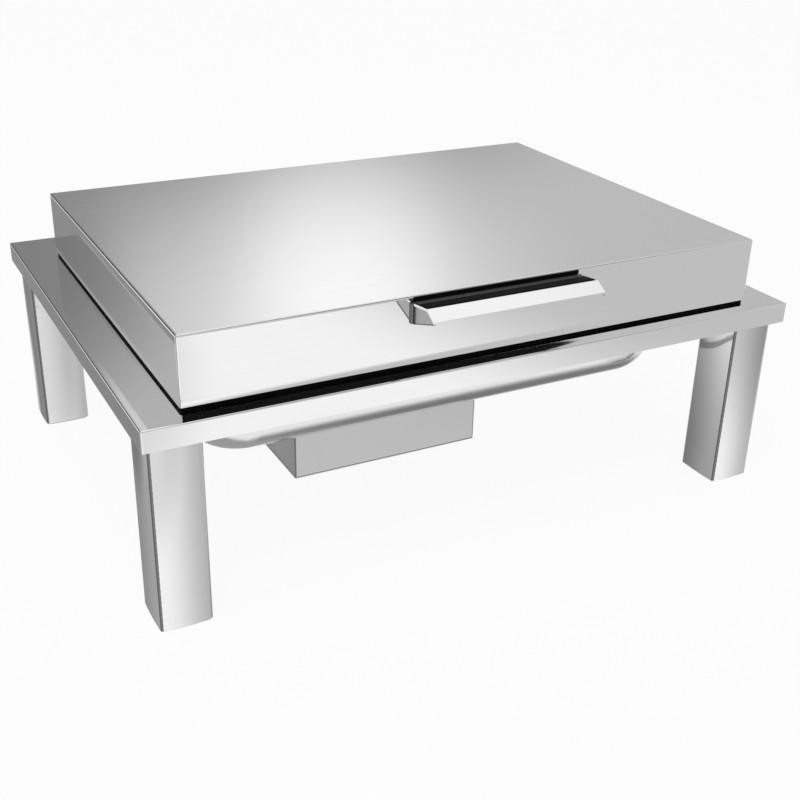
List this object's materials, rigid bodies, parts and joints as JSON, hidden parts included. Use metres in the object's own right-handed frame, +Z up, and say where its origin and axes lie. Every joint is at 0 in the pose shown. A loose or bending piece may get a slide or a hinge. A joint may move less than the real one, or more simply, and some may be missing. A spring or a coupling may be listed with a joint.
{
  "type": "chafing dish",
  "caption": "Rectangular electric chafing dish: flat box lid hinged at the rear with a front finger grip, drawn water and food pans, heater box below, square legs.",
  "frame": {"origin": "on the table under the feet, midway across the width and midway between the handle's nose and the stand's rear face", "axes": "+X to the operator's right, +Y to the rear where the hinges are, +Z up"},
  "size_m": [0.634, 0.499, 0.253],
  "materials": {
    "polished_steel": "mirror polished stainless sheet with fine wipe marks",
    "satin_steel": "fine satin stainless sheet",
    "drawn_steel": "deep drawn stainless sheet, soft sheen",
    "mill_steel": "plain mill finish stainless",
    "zinc_steel": "turned and plated fasteners",
    "cast_aluminium": "as cast",
    "dark_sheath": "heat darkened sheath",
    "bronze": "plain turned or stamped bronze",
    "black_rubber": "dull moulded rubber",
    "black_silicone": "dull moulded silicone",
    "black_plastic": "fine moulded texture",
    "black_gloss_plastic": "glossy moulding",
    "red_lens": "translucent red moulding",
    "fibre_board": "pressed mineral fibre board",
    "lead_sleeve": "woven heat resistant sleeve"
  },
  "bodies": {
    "stand": {"stand_top": "polished_steel", "corner_plates": "mill_steel", "leg_studs": "zinc_steel", "leg_washers": "zinc_steel", "leg_nuts": "zinc_steel", "feet": "black_rubber", "leg_front_left": "polished_steel", "leg_front_right": "polished_steel", "leg_rear_left": "polished_steel", "leg_rear_right": "polished_steel", "hinge_bracket_left": "mill_steel", "hinge_bracket_right": "mill_steel", "hinge_pins": "zinc_steel", "hinge_dampers": "black_plastic", "hinge_pin_clips": "zinc_steel", "hinge_spacers": "black_plastic", "hinge_bracket_screws": "zinc_steel", "hinge_bracket_nuts": "zinc_steel"},
    "lid": {"lid_shell": "satin_steel", "lid_seal": "black_silicone", "lid_drip_rim": "mill_steel", "handle_grip": "polished_steel", "handle_end_left": "polished_steel", "handle_end_right": "polished_steel", "handle_screws": "zinc_steel", "handle_nuts": "zinc_steel", "hinge_leaf_left": "mill_steel", "hinge_leaf_right": "mill_steel", "hinge_bushes": "bronze", "hinge_leaf_screws": "zinc_steel"},
    "water_pan": {"water_pan": "drawn_steel", "heater_housing": "satin_steel", "heater_base_plate": "satin_steel", "heater_base_screws": "zinc_steel", "heating_plate": "cast_aluminium", "heating_element": "dark_sheath", "element_clamp": "mill_steel", "element_clamp_sleeves": "zinc_steel", "element_clamp_screws": "zinc_steel", "insulation_pad": "fibre_board", "heater_support_bars": "mill_steel", "pan_studs": "zinc_steel", "housing_nuts": "zinc_steel", "support_bar_nuts": "zinc_steel", "power_inlet": "black_plastic", "inlet_pins": "bronze", "inlet_screws": "zinc_steel", "inlet_nuts": "zinc_steel", "switch_housing": "black_plastic", "switch_tabs": "bronze", "indicator_lamp": "red_lens", "thermostat_body": "black_plastic", "thermostat_tabs": "bronze", "sensor_bulb": "bronze", "sensor_capillary": "bronze", "heater_leads": "lead_sleeve"},
    "food_pan": {"food_pan": "drawn_steel"},
    "thermostat_knob": {"thermostat_knob": "black_plastic", "thermostat_spindle": "zinc_steel"},
    "switch_rocker": {"switch_rocker": "black_gloss_plastic"}
  },
  "joints": [
    {"name": "lid_hinge", "type": "hinge", "parent": "stand", "child": "lid", "pos_m": [0, 0.2105, 0.204], "axis": [-1, 0, 0], "range_deg": [0, 90]},
    {"name": "water_pan_lift", "type": "slide", "parent": "stand", "child": "water_pan", "axis": [0, 0, 1], "range_m": [0, 0.022]},
    {"name": "food_pan_lift", "type": "slide", "parent": "water_pan", "child": "food_pan", "axis": [0, 0, 1], "range_m": [0, 0.034]},
    {"name": "thermostat_turn", "type": "hinge", "parent": "water_pan", "child": "thermostat_knob", "pos_m": [-0.0035, 0.10087, 0.073], "axis": [0, -1, 0], "range_deg": [0, 270]},
    {"name": "rocker_tilt", "type": "hinge", "parent": "water_pan", "child": "switch_rocker", "pos_m": [-0.0595, 0.10047, 0.073], "axis": [-1, 0, 0], "range_deg": [0, 18]}
  ]
}
